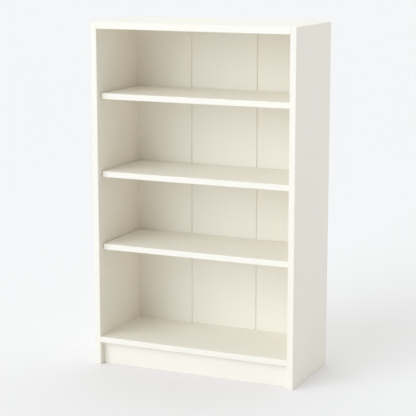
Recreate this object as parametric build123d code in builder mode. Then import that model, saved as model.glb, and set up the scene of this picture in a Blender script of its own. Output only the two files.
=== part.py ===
from build123d import *

import os

# Miniature bookcase at one-twelfth scale, in millimetres.
# The frame has +Z up, the open front facing -Y, and +X to the right of a person
# who faces the front. The origin is on the floor, at the centre of the footprint.
# The case is two sides with a top, a bottom and a plinth pinned between them, and a
# back of three upright boards. Three loose shelves rest on studs in the sides.

# ---- Driving dimensions ----
WIDTH = 62.0
DEPTH = 27.3
HEIGHT = 100.0

SIDE_THICKNESS = 1.8
TOP_THICKNESS = 2.0
BOTTOM_THICKNESS = 1.7
BOTTOM_TOP_Z = 8.4
PLINTH_THICKNESS = 1.8
PLINTH_SETBACK = 2.0

BACK_THICKNESS = 1.8
REBATE_DEPTH = 0.9                    # how far the back is let into each side
BACK_JOINTS_X = (-11.4, 9.45)         # where the three back boards meet
JOINT_BEVEL_WIDTH = 0.25              # the two bevels of each joint make a V-groove
JOINT_BEVEL_DEPTH = 0.35
TONGUE_THICKNESS = 0.5
TONGUE_FROM_FRONT = 1.1               # middle of each tongue, from the front of the back
TONGUE_LENGTH = 0.7
TONGUE_CLEARANCE = 0.05

SHELF_TOPS_Z = {"upper": 79.7, "middle": 57.2, "lower": 35.9}
SHELF_THICKNESS = 1.7
SHELF_SETBACK = 1.9
SHELF_END_GAP = 0.35                  # between a shelf and each side
SHELF_BACK_GAP = 0.3                  # between a shelf and the back

STUD_COLUMNS = {"front": 4.3, "rear": 22.3}   # how far each column is from the front
STUD_PITCH = 2.65
STUD_STEPS = range(-2, 3)             # holes below and above each shelf's own hole
STUD_HEAD_RADIUS = 0.2
STUD_HEAD_LENGTH = 1.2
STUD_HEAD_ROUNDING = 0.08
STUD_SHANK_RADIUS = 0.12
STUD_SHANK_LENGTH = 1.0
STUD_SHELF_GAP = 0.02

DOWEL_RADIUS = 0.4
DOWEL_IN_SIDE = 1.1
DOWEL_IN_PANEL = 3.4
DOWEL_CHAMFER = 0.1
DOWEL_COLUMNS = {"front": 5.5, "rear": 20.0}  # how far each one is from the front
PLINTH_DOWELS_Z = {"upper": 4.9, "lower": 1.8}

BRAD_LENGTH = 4.0
BRAD_POINT_LENGTH = 0.5
BRAD_SHANK_RADIUS = 0.25
BRAD_HEAD_RADIUS = 0.5
BRAD_HEAD_THICKNESS = 0.25
BRAD_INSET = 3.0                      # from each edge of a back board

FIT_CLEARANCE = 0.01                  # round every stud shank, dowel and brad
END_CLEARANCE = 0.1                   # past the end of every one of them
EASING = 0.12                         # radius of the sanded arrises

# ---- Dimensions worked out from those ----
FRONT_Y = -DEPTH / 2
REAR_Y = DEPTH / 2
BACK_FRONT_Y = REAR_Y - BACK_THICKNESS
BACK_MID_Y = REAR_Y - BACK_THICKNESS / 2
TONGUE_MID_Y = BACK_FRONT_Y + TONGUE_FROM_FRONT
PLINTH_FRONT_Y = FRONT_Y + PLINTH_SETBACK
PLINTH_REAR_Y = PLINTH_FRONT_Y + PLINTH_THICKNESS
PLINTH_MID_Y = PLINTH_FRONT_Y + PLINTH_THICKNESS / 2

INNER_X = WIDTH / 2 - SIDE_THICKNESS
BACK_EDGE_X = INNER_X + REBATE_DEPTH

TOP_UNDERSIDE_Z = HEIGHT - TOP_THICKNESS
TOP_MID_Z = HEIGHT - TOP_THICKNESS / 2
BOTTOM_UNDERSIDE_Z = BOTTOM_TOP_Z - BOTTOM_THICKNESS
BOTTOM_MID_Z = BOTTOM_TOP_Z - BOTTOM_THICKNESS / 2

HANDS = {"left": -1, "right": 1}
BACK_BOARDS_X = {
    "left": (-BACK_EDGE_X, BACK_JOINTS_X[0]),
    "centre": BACK_JOINTS_X,
    "right": (BACK_JOINTS_X[1], BACK_EDGE_X),
}
BRAD_ROWS_Z = {"top": TOP_MID_Z, "bottom": BOTTOM_MID_Z}


def dowels_yz(panel):
    """Where the dowels of one panel are, as name to (Y, Z)."""
    if panel == "plinth":
        return {row: (PLINTH_MID_Y, z) for row, z in PLINTH_DOWELS_Z.items()}
    return {name: (FRONT_Y + y, BRAD_ROWS_Z[panel]) for name, y in DOWEL_COLUMNS.items()}


def brads_x(board):
    """Where the two brads across one end of a back board are, as name to X."""
    low, high = BACK_BOARDS_X[board]
    return {"left": low + BRAD_INSET, "right": high - BRAD_INSET}


def stud_axis_z(shelf):
    """Height of the studs that carry one shelf."""
    underside = SHELF_TOPS_Z[shelf] - SHELF_THICKNESS
    return underside - STUD_SHELF_GAP - STUD_HEAD_RADIUS


# ---- Holes ----
def drill(points, outward, radius, depth):
    """Blind holes with a fit clearance, each from a point on a face that looks outward."""
    with Locations(*[Plane(origin=point, z_dir=outward) for point in points]):
        Hole(radius + FIT_CLEARANCE, depth + END_CLEARANCE)


# ---- Panels ----
def side(hand):
    """Side panel, with a rebate for the back and blind holes for studs and dowels."""
    middle_x = hand * (WIDTH - SIDE_THICKNESS) / 2
    rebate_x = hand * (INNER_X + BACK_EDGE_X) / 2
    with BuildPart() as panel:
        with BuildSketch(Plane.XY):
            with Locations((middle_x, 0)):
                Rectangle(SIDE_THICKNESS, DEPTH)
        extrude(amount=HEIGHT)
        fillet(panel.edges(), EASING)
        with BuildSketch(Plane.XY):
            with Locations((rebate_x, BACK_MID_Y)):
                Rectangle(REBATE_DEPTH, BACK_THICKNESS)
        extrude(amount=HEIGHT, mode=Mode.SUBTRACT)
        inward = (-hand, 0, 0)
        stud_points = [
            (hand * INNER_X, FRONT_Y + column, stud_axis_z(shelf) + step * STUD_PITCH)
            for shelf in SHELF_TOPS_Z
            for column in STUD_COLUMNS.values()
            for step in STUD_STEPS
        ]
        drill(stud_points, inward, STUD_SHANK_RADIUS, STUD_SHANK_LENGTH)
        dowel_points = [
            (hand * INNER_X, y, z)
            for panel_name in ("top", "bottom", "plinth")
            for y, z in dowels_yz(panel_name).values()
        ]
        drill(dowel_points, inward, DOWEL_RADIUS, DOWEL_IN_SIDE)
    return panel.part


def crosswise_panel(name, low_y, high_y, low_z, high_z):
    """Panel that butts against both sides, its long arrises eased, its ends drilled."""
    with BuildPart() as panel:
        with BuildSketch(Plane.XY.offset(low_z)):
            with Locations((0, (low_y + high_y) / 2)):
                Rectangle(2 * INNER_X, high_y - low_y)
        extrude(amount=high_z - low_z)
        fillet(panel.edges().filter_by(Axis.X), EASING)
        for hand in HANDS.values():
            points = [(hand * INNER_X, y, z) for y, z in dowels_yz(name).values()]
            drill(points, (hand, 0, 0), DOWEL_RADIUS, DOWEL_IN_PANEL)
        if name in BRAD_ROWS_Z:
            xs = [x for board in BACK_BOARDS_X for x in brads_x(board).values()]
            points = [(x, BACK_FRONT_Y, BRAD_ROWS_Z[name]) for x in xs]
            drill(points, (0, 1, 0), BRAD_SHANK_RADIUS, BRAD_LENGTH - BACK_THICKNESS)
    return panel.part


def joint_bevel(joint_x, inward):
    """Cuts the front corner off a board's section, at one of its joints."""
    corners = [
        (joint_x, BACK_FRONT_Y),
        (joint_x + inward * JOINT_BEVEL_WIDTH, BACK_FRONT_Y),
        (joint_x, BACK_FRONT_Y + JOINT_BEVEL_DEPTH),
    ]
    Polygon(*corners, align=None, mode=Mode.SUBTRACT)


def back_board(board):
    """Upright board: a tongue on its right edge and a groove in its left, where it has
    a neighbour, and a bevel along the front of each of those edges."""
    low_x, high_x = BACK_BOARDS_X[board]
    groove_depth = TONGUE_LENGTH + TONGUE_CLEARANCE
    with BuildPart() as upright:
        with BuildSketch(Plane.XY.offset(BOTTOM_UNDERSIDE_Z)):
            with Locations(((low_x + high_x) / 2, BACK_MID_Y)):
                Rectangle(high_x - low_x, BACK_THICKNESS)
            if high_x in BACK_JOINTS_X:
                joint_bevel(high_x, inward=-1)
                with Locations((high_x + TONGUE_LENGTH / 2, TONGUE_MID_Y)):
                    Rectangle(TONGUE_LENGTH, TONGUE_THICKNESS)
            if low_x in BACK_JOINTS_X:
                joint_bevel(low_x, inward=1)
                with Locations((low_x + groove_depth / 2, TONGUE_MID_Y)):
                    Rectangle(
                        groove_depth,
                        TONGUE_THICKNESS + 2 * TONGUE_CLEARANCE,
                        mode=Mode.SUBTRACT,
                    )
        extrude(amount=HEIGHT - BOTTOM_UNDERSIDE_Z)
        rear_arrises = upright.edges().filter_by(Axis.Z).group_by(Axis.Y)[-1]
        top_rear = upright.edges().filter_by(Axis.X).group_by(Axis.Z)[-1].sort_by(Axis.Y)[-1]
        fillet([*rear_arrises, top_rear], EASING)
        places = [
            Plane(origin=(x, REAR_Y, z), z_dir=(0, 1, 0))
            for x in brads_x(board).values()
            for z in BRAD_ROWS_Z.values()
        ]
        with Locations(*places):
            CounterBoreHole(
                radius=BRAD_SHANK_RADIUS + FIT_CLEARANCE,
                counter_bore_radius=BRAD_HEAD_RADIUS + FIT_CLEARANCE,
                counter_bore_depth=BRAD_HEAD_THICKNESS,
                depth=BACK_THICKNESS,
            )
    return upright.part


def shelf_board(shelf):
    """Loose shelf, eased all round, with a gap at its ends and behind it."""
    low_y = FRONT_Y + SHELF_SETBACK
    high_y = BACK_FRONT_Y - SHELF_BACK_GAP
    with BuildPart() as board:
        with BuildSketch(Plane.XY.offset(SHELF_TOPS_Z[shelf] - SHELF_THICKNESS)):
            with Locations((0, (low_y + high_y) / 2)):
                Rectangle(2 * (INNER_X - SHELF_END_GAP), high_y - low_y)
        extrude(amount=SHELF_THICKNESS)
        fillet(board.edges(), EASING)
    return board.part


# ---- Hardware ----
def stud(hand, y, z):
    """Shelf stud: a thin shank in the side and a stouter head under the shelf."""
    wall = Plane(origin=(hand * INNER_X, y, z), z_dir=(-hand, 0, 0))
    with BuildPart() as pin:
        with BuildSketch(wall):
            Circle(STUD_HEAD_RADIUS)
        extrude(amount=STUD_HEAD_LENGTH)
        nose = pin.edges().sort_by(Axis(wall.origin, wall.z_dir))[-1]
        fillet(nose, STUD_HEAD_ROUNDING)
        with BuildSketch(wall):
            Circle(STUD_SHANK_RADIUS)
        extrude(amount=-STUD_SHANK_LENGTH)
    return pin.part


def dowel(hand, y, z):
    """Blind dowel, part in the side and part in the end of the panel."""
    side_end = Plane(origin=(hand * (INNER_X + DOWEL_IN_SIDE), y, z), z_dir=(-hand, 0, 0))
    with BuildPart() as pin:
        with BuildSketch(side_end):
            Circle(DOWEL_RADIUS)
        extrude(amount=DOWEL_IN_SIDE + DOWEL_IN_PANEL)
        chamfer(pin.edges().filter_by(GeomType.CIRCLE), DOWEL_CHAMFER)
    return pin.part


def brad(x, z):
    """Small nail, its flat head let in flush with the rear of the back."""
    under_head_y = REAR_Y - BRAD_HEAD_THICKNESS
    tip_y = REAR_Y - BRAD_LENGTH
    with BuildPart() as nail:
        with BuildSketch(Plane.XY.offset(z)):
            with BuildLine():
                Polyline(
                    (x, REAR_Y),
                    (x + BRAD_HEAD_RADIUS, REAR_Y),
                    (x + BRAD_HEAD_RADIUS, under_head_y),
                    (x + BRAD_SHANK_RADIUS, under_head_y),
                    (x + BRAD_SHANK_RADIUS, tip_y + BRAD_POINT_LENGTH),
                    (x, tip_y),
                    close=True,
                )
            make_face()
        revolve(axis=Axis((x, 0, z), (0, 1, 0)))
    return nail.part


# ---- The pieces, by name ----
pieces = {
    "top_panel": crosswise_panel("top", FRONT_Y, BACK_FRONT_Y, TOP_UNDERSIDE_Z, HEIGHT),
    "bottom_panel": crosswise_panel(
        "bottom", FRONT_Y, BACK_FRONT_Y, BOTTOM_UNDERSIDE_Z, BOTTOM_TOP_Z
    ),
    "plinth": crosswise_panel("plinth", PLINTH_FRONT_Y, PLINTH_REAR_Y, 0, BOTTOM_UNDERSIDE_Z),
}

for board in BACK_BOARDS_X:
    pieces[f"back_board_{board}"] = back_board(board)
    for end, x in brads_x(board).items():
        for row, z in BRAD_ROWS_Z.items():
            pieces[f"brad_{board}_{row}_{end}"] = brad(x, z)

for shelf in SHELF_TOPS_Z:
    pieces[f"{shelf}_shelf"] = shelf_board(shelf)

for end, hand in HANDS.items():
    pieces[f"{end}_side"] = side(hand)
    for shelf in SHELF_TOPS_Z:
        for column, from_front in STUD_COLUMNS.items():
            name = f"stud_{shelf}_{end}_{column}"
            pieces[name] = stud(hand, FRONT_Y + from_front, stud_axis_z(shelf))
    for panel in ("top", "bottom", "plinth"):
        for place, (y, z) in dowels_yz(panel).items():
            pieces[f"dowel_{panel}_{end}_{place}"] = dowel(hand, y, z)

os.makedirs("parts", exist_ok=True)
for name, piece in pieces.items():
    piece.label = name
    export_step(piece, f"parts/{name}.step")
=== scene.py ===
"""Looks of the miniature bookcase: camera, stage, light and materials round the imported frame.

Places and lengths are in metres, in the frame's own axes: +Z up, the open front facing -Y.
Sizes of texture features are in millimetres, as their names say.
"""

import math

import bpy
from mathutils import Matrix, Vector


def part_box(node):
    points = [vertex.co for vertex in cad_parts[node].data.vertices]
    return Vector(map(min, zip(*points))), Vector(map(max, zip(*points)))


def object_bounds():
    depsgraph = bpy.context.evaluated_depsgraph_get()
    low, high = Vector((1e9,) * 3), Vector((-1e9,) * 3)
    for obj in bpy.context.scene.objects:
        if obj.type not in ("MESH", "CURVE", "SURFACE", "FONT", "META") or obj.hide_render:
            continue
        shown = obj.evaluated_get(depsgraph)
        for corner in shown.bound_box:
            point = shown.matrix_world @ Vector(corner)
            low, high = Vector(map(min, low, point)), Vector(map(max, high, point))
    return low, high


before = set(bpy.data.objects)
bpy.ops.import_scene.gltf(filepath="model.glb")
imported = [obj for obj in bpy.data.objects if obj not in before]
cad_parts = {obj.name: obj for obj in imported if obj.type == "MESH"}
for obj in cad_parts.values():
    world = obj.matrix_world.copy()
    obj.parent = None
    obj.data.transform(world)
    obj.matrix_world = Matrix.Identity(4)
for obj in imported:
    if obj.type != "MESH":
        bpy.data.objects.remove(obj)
cad_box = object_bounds()

# ---- Camera ----
VIEW_AZIMUTH = math.radians(24.28)    # from the front, towards the right
VIEW_ELEVATION = math.radians(10.81)
VIEW_DISTANCE = 0.4114
LENS_MM = 123.8
AIM_FROM_CENTRE = Vector((-0.00044, -0.00088, -0.00324))

# ---- Light ----
# The studio is a plain sky whose brightness changes slowly with direction.
SKY_COLOUR = (0.965, 1.0, 0.98)
FRONT_GLOW = 0.31                     # how bright it is in front of the object,
REAR_GLOW = 0.66                      # how much brighter behind the object,
LEFT_GLOW = 0.20                      # how much brighter on the left
LEFT_FALLOFF = 3.0                    # and how fast that fades away from the left,
TOP_GLOW = 0.40                       # how much brighter overhead
TOP_FALLOFF = 2.0                     # and how fast that fades away from overhead
KEY_STRENGTH = 1.57
KEY_COLOUR = (0.925, 1.0, 1.065)
KEY_AZIMUTH = math.radians(-30)       # from the front, towards the left
KEY_ELEVATION = math.radians(22)
KEY_ANGLE = math.radians(52)

# ---- Stage ----
FLOOR_REACH = 6.0
FLOOR_ROUGHNESS = 0.9
FLOOR_SPECULAR = 0.1
FLOOR_COLOUR = (0.885, 0.858, 0.872)

# ---- Surfaces ----
# A texture feature that is long in one direction is given as across and along.
NOISE_SPAN = (0.3, 0.7)                   # what most of a noise's values lie between

PAINT_COLOUR = (0.892, 0.855, 0.778)
THIN_PAINT_COLOUR = (0.80, 0.75, 0.63)   # where the wood begins to show on the arrises
PAINT_ROUGHNESS = (0.36, 0.52)
TONE_CHANGE = 0.012                       # how much the paint varies about its colour
TONE_FROM_CLOUD = 0.6                     # the rest of that change follows the grain
CLOUD_MM = (14.0, 40.0)
ARRIS_REACH_MM = 0.22
ARRIS_WEAR = 0.35
WEAR_PATCH_MM = 1.6
WEAR_PATCH_SPAN = (0.45, 0.65)            # noise values where a worn patch starts and is full
BRUSH_MARK_MM = (0.28, 9.0)
BRUSH_HEIGHT_MM = 0.007
GRAIN_MM = (0.75, 26.0)
GRAIN_HEIGHT_MM = 0.006
GRAIN_WAVER = 0.6
PEEL_MM = 0.9
PEEL_HEIGHT_MM = 0.004

BEECH_COLOURS = ((0.50, 0.33, 0.19), (0.68, 0.50, 0.32))
BEECH_FLECK_COLOUR = (0.33, 0.19, 0.10)
BEECH_ROUGHNESS = (0.55, 0.75)
FIBRE_MM = (0.09, 1.8)
FIBRE_HEIGHT_MM = 0.01
FLECK_MM = (0.05, 0.35)
FLECK_STRENGTH = 0.6
FLECK_SPAN = (0.62, 0.72)

BRASS_COLOUR = (0.80, 0.62, 0.32)
TARNISH_COLOUR = (0.60, 0.43, 0.20)
BRASS_ROUGHNESS = (0.22, 0.42)
TARNISH_MM = 0.5
TARNISH_SPAN = (0.4, 0.75)
RING_MM = (0.035, 4.0, 4.0)               # along X, Y and Z
RING_HEIGHT_MM = 0.003

STEEL_COLOURS = ((0.40, 0.40, 0.41), (0.62, 0.62, 0.63))
STEEL_ROUGHNESS = (0.28, 0.48)
PIT_MM = 0.16
PIT_HEIGHT_MM = 0.006
DRAWING_MM = (0.05, 5.0)
DRAWING_HEIGHT_MM = 0.003

AXES = {"X": 0, "Y": 1, "Z": 2}
MM_PER_METRE = 1000


def direction(azimuth, elevation):
    """Unit vector towards a place seen at that azimuth from the front and that height."""
    return Vector((
        math.sin(azimuth) * math.cos(elevation),
        -math.cos(azimuth) * math.cos(elevation),
        math.sin(elevation),
    ))


# ---- Camera, light and stage ----
def make_camera():
    low, high = cad_box
    aim = (low + high) / 2 + AIM_FROM_CENTRE
    back = direction(VIEW_AZIMUTH, VIEW_ELEVATION)
    camera = bpy.data.objects.new("camera", bpy.data.cameras.new("camera"))
    camera.data.lens = LENS_MM
    camera.data.clip_start = VIEW_DISTANCE / 100
    camera.data.clip_end = FLOOR_REACH * 3
    camera.location = aim + back * VIEW_DISTANCE
    camera.rotation_mode = "QUATERNION"
    camera.rotation_quaternion = (-back).to_track_quat("-Z", "Y")
    bpy.context.scene.collection.objects.link(camera)
    bpy.context.scene.camera = camera


def make_sky():
    """A plain studio, dim in front, brighter behind, on the left and overhead."""
    world = bpy.data.worlds.new("studio")
    world.use_nodes = True
    tree = world.node_tree
    towards = add(tree, "ShaderNodeTexCoord", {}).outputs["Generated"]
    x, y, z = add(tree, "ShaderNodeSeparateXYZ", {0: towards}).outputs
    rear = sums(tree, "MULTIPLY_ADD", y, REAR_GLOW / 2, FRONT_GLOW + REAR_GLOW / 2)
    left = sums(tree, "POWER", sums(tree, "MULTIPLY_ADD", x, -0.5, 0.5), LEFT_FALLOFF)
    top = sums(tree, "POWER", sums(tree, "MAXIMUM", z, 0.0), TOP_FALLOFF)
    glow = sums(tree, "MULTIPLY_ADD", left, LEFT_GLOW, rear)
    glow = sums(tree, "MULTIPLY_ADD", top, TOP_GLOW, glow)
    background = tree.nodes["Background"]
    background.inputs["Color"].default_value = (*SKY_COLOUR, 1)
    tree.links.new(glow, background.inputs["Strength"])
    bpy.context.scene.world = world


def make_key_light():
    """One broad soft light, low on the left of the camera."""
    key = bpy.data.objects.new("key_light", bpy.data.lights.new("key_light", "SUN"))
    key.data.energy = KEY_STRENGTH
    key.data.color = KEY_COLOUR
    key.data.angle = KEY_ANGLE
    key.rotation_mode = "QUATERNION"
    key.rotation_quaternion = direction(KEY_AZIMUTH, KEY_ELEVATION).to_track_quat("Z", "Y")
    bpy.context.scene.collection.objects.link(key)


def make_floor():
    reach = FLOOR_REACH
    corners = [(-reach, -reach, 0), (reach, -reach, 0), (reach, reach, 0), (-reach, reach, 0)]
    mesh = bpy.data.meshes.new("floor")
    mesh.from_pydata(corners, [], [(0, 1, 2, 3)])
    floor = bpy.data.objects.new("floor", mesh)
    bpy.context.scene.collection.objects.link(floor)
    material, shader, _ = new_material("floor")
    shader.inputs["Base Color"].default_value = (*FLOOR_COLOUR, 1)
    shader.inputs["Roughness"].default_value = FLOOR_ROUGHNESS
    shader.inputs["Specular IOR Level"].default_value = FLOOR_SPECULAR
    mesh.materials.append(material)


# ---- Shader nodes ----
def new_material(name):
    """A material, its Principled shader and its node tree."""
    material = bpy.data.materials.new(name)
    material.use_nodes = True
    tree = material.node_tree
    return material, tree.nodes["Principled BSDF"], tree


def add(tree, kind, inputs, **settings):
    """A new node with its settings made and its inputs set or linked."""
    node = tree.nodes.new(kind)
    for name, value in settings.items():
        setattr(node, name, value)
    for name, value in inputs.items():
        if isinstance(value, bpy.types.NodeSocket):
            tree.links.new(value, node.inputs[name])
        else:
            node.inputs[name].default_value = value
    return node


def sums(tree, operation, *values):
    """Output of a Math node."""
    return add(tree, "ShaderNodeMath", dict(enumerate(values)), operation=operation).outputs[0]


def average(tree, first, second, share):
    """Weighted mean of two values, with that share of the first."""
    rest = sums(tree, "MULTIPLY", second, 1.0 - share)
    return sums(tree, "ADD", sums(tree, "MULTIPLY", first, share), rest)


def spread(tree, value, low, high, from_low=0.0, from_high=1.0):
    """The value's range from_low to from_high, mapped to low to high and held there."""
    inputs = {"Value": value, "From Min": from_low, "From Max": from_high,
              "To Min": low, "To Max": high}
    return add(tree, "ShaderNodeMapRange", inputs).outputs["Result"]


def blend_colour(tree, factor, first, second):
    """Colour between two colours."""
    node = add(tree, "ShaderNodeMix", {"Factor": factor}, data_type="RGBA")
    for socket, colour in zip((node.inputs[6], node.inputs[7]), (first, second)):
        if isinstance(colour, bpy.types.NodeSocket):
            tree.links.new(colour, socket)
        else:
            socket.default_value = (*colour, 1)
    return node.outputs[2]


def noise(tree, size_mm, seed, detail=3.0, distortion=0.0):
    """Noise from 0 to 1, fixed to the object, with features of that size along X, Y and Z."""
    place = add(tree, "ShaderNodeTexCoord", {}).outputs["Object"]
    scale = [MM_PER_METRE / size for size in size_mm]
    offset = [seed * 7.31, seed * 3.17, seed * 5.93]
    spot = add(tree, "ShaderNodeMapping", {"Vector": place, "Location": offset, "Scale": scale})
    inputs = {"Vector": spot.outputs["Vector"], "Scale": 1.0, "Detail": detail,
              "Distortion": distortion}
    return add(tree, "ShaderNodeTexNoise", inputs).outputs["Fac"]


def along(axis, across_mm, along_mm):
    """Feature size that is long on one axis and short on the other two."""
    size = [across_mm] * 3
    size[AXES[axis]] = along_mm
    return size


def bump(tree, shader, height_mm):
    """Raises the surface by a height given in millimetres."""
    inputs = {"Height": height_mm, "Strength": 1.0, "Distance": 1 / MM_PER_METRE}
    tree.links.new(add(tree, "ShaderNodeBump", inputs).outputs["Normal"], shader.inputs["Normal"])


def arris_mask(tree, node, reach_mm):
    """1 on the twelve long edges of a node's box, falling to 0 at reach_mm from them."""
    low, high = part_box(node)
    place = add(tree, "ShaderNodeTexCoord", {}).outputs["Object"]
    middle = add(tree, "ShaderNodeVectorMath", {0: place, 1: (low + high) / 2}, operation="SUBTRACT")
    outwards = add(tree, "ShaderNodeVectorMath", {0: middle.outputs[0]}, operation="ABSOLUTE")
    inset = add(tree, "ShaderNodeVectorMath", {0: outwards.outputs[0], 1: (high - low) / 2},
                operation="SUBTRACT")
    x, y, z = add(tree, "ShaderNodeSeparateXYZ", {0: inset.outputs[0]}).outputs
    second = sums(tree, "MAXIMUM", sums(tree, "MINIMUM", x, y),
                  sums(tree, "MINIMUM", sums(tree, "MAXIMUM", x, y), z))
    return spread(tree, second, 0.0, 1.0, -reach_mm / MM_PER_METRE, 0.0)


# ---- Materials ----
def painted_wood(node, grain, seed):
    """Ivory satin paint, brushed along the grain of one board."""
    material, shader, tree = new_material(f"ivory_paint_{node}")
    brush = noise(tree, along(grain, *BRUSH_MARK_MM), seed, detail=4.0)
    figure = noise(tree, along(grain, *GRAIN_MM), seed + 11, detail=2.0, distortion=GRAIN_WAVER)
    peel = noise(tree, [PEEL_MM] * 3, seed + 23, detail=2.0)
    cloud = noise(tree, along(grain, *CLOUD_MM), seed + 37, detail=1.0)

    tone = average(tree, cloud, figure, TONE_FROM_CLOUD)
    darker = [channel * (1 - TONE_CHANGE) for channel in PAINT_COLOUR]
    lighter = [channel * (1 + TONE_CHANGE) for channel in PAINT_COLOUR]
    colour = blend_colour(tree, spread(tree, tone, 0.0, 1.0, *NOISE_SPAN), darker, lighter)
    patches = noise(tree, [WEAR_PATCH_MM] * 3, seed + 41)
    patches = spread(tree, patches, 0.0, ARRIS_WEAR, *WEAR_PATCH_SPAN)
    worn = sums(tree, "MULTIPLY", arris_mask(tree, node, ARRIS_REACH_MM), patches)
    colour = blend_colour(tree, worn, colour, THIN_PAINT_COLOUR)
    tree.links.new(colour, shader.inputs["Base Color"])

    gloss = average(tree, brush, peel, 0.5)
    roughness = spread(tree, gloss, *PAINT_ROUGHNESS, *NOISE_SPAN)
    tree.links.new(roughness, shader.inputs["Roughness"])

    height = sums(tree, "MULTIPLY", brush, BRUSH_HEIGHT_MM)
    height = sums(tree, "MULTIPLY_ADD", figure, GRAIN_HEIGHT_MM, height)
    height = sums(tree, "MULTIPLY_ADD", peel, PEEL_HEIGHT_MM, height)
    bump(tree, shader, height)
    return material


def bare_beech():
    """Pale straight-grained wood with short dark flecks, as turned for dowels."""
    material, shader, tree = new_material("dowel_beech")
    fibres = noise(tree, along("X", *FIBRE_MM), 3, detail=4.0)
    flecks = noise(tree, along("X", *FLECK_MM), 5, detail=1.0)
    wood = blend_colour(tree, fibres, *BEECH_COLOURS)
    dark = spread(tree, flecks, 0.0, FLECK_STRENGTH, *FLECK_SPAN)
    colour = blend_colour(tree, dark, wood, BEECH_FLECK_COLOUR)
    tree.links.new(colour, shader.inputs["Base Color"])
    tree.links.new(spread(tree, fibres, *BEECH_ROUGHNESS), shader.inputs["Roughness"])
    bump(tree, shader, sums(tree, "MULTIPLY", fibres, FIBRE_HEIGHT_MM))
    return material


def turned_brass():
    """Brass with the fine rings that turning leaves round its X axis, a little tarnished."""
    material, shader, tree = new_material("stud_brass")
    rings = noise(tree, RING_MM, 2, detail=2.0)
    tarnish = noise(tree, [TARNISH_MM] * 3, 9, detail=3.0)
    dull = spread(tree, tarnish, 0.0, 1.0, *TARNISH_SPAN)
    colour = blend_colour(tree, dull, BRASS_COLOUR, TARNISH_COLOUR)
    tree.links.new(colour, shader.inputs["Base Color"])
    shader.inputs["Metallic"].default_value = 1.0
    tree.links.new(spread(tree, tarnish, *BRASS_ROUGHNESS), shader.inputs["Roughness"])
    bump(tree, shader, sums(tree, "MULTIPLY", rings, RING_HEIGHT_MM))
    return material


def drawn_steel():
    """Bright wire, drawn along Y, with a slightly pitted head."""
    material, shader, tree = new_material("brad_steel")
    drawing = noise(tree, along("Y", *DRAWING_MM), 4, detail=2.0)
    pits = noise(tree, [PIT_MM] * 3, 6, detail=3.0)
    colour = blend_colour(tree, pits, *STEEL_COLOURS)
    tree.links.new(colour, shader.inputs["Base Color"])
    shader.inputs["Metallic"].default_value = 1.0
    roughness = spread(tree, pits, *STEEL_ROUGHNESS, *NOISE_SPAN)
    tree.links.new(roughness, shader.inputs["Roughness"])
    height = sums(tree, "MULTIPLY", drawing, DRAWING_HEIGHT_MM)
    bump(tree, shader, sums(tree, "MULTIPLY_ADD", pits, PIT_HEIGHT_MM, height))
    return material


def give(node, material):
    """Puts one material on every slot of a CAD node."""
    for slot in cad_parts[node].material_slots:
        slot.material = material


# ---- The scene ----
make_camera()
make_sky()
make_key_light()
make_floor()

HARDWARE = {"dowel": bare_beech(), "stud": turned_brass(), "brad": drawn_steel()}
UPRIGHT = ("side", "board")

for seed, node in enumerate(sorted(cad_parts)):
    first_word = node.split("_")[0]
    if first_word in HARDWARE:
        give(node, HARDWARE[first_word])
    else:
        grain = "Z" if any(word in node for word in UPRIGHT) else "X"
        give(node, painted_wood(node, grain, seed))

scene = bpy.context.scene
scene.view_settings.view_transform = "Standard"
scene.cycles.diffuse_bounces = 8
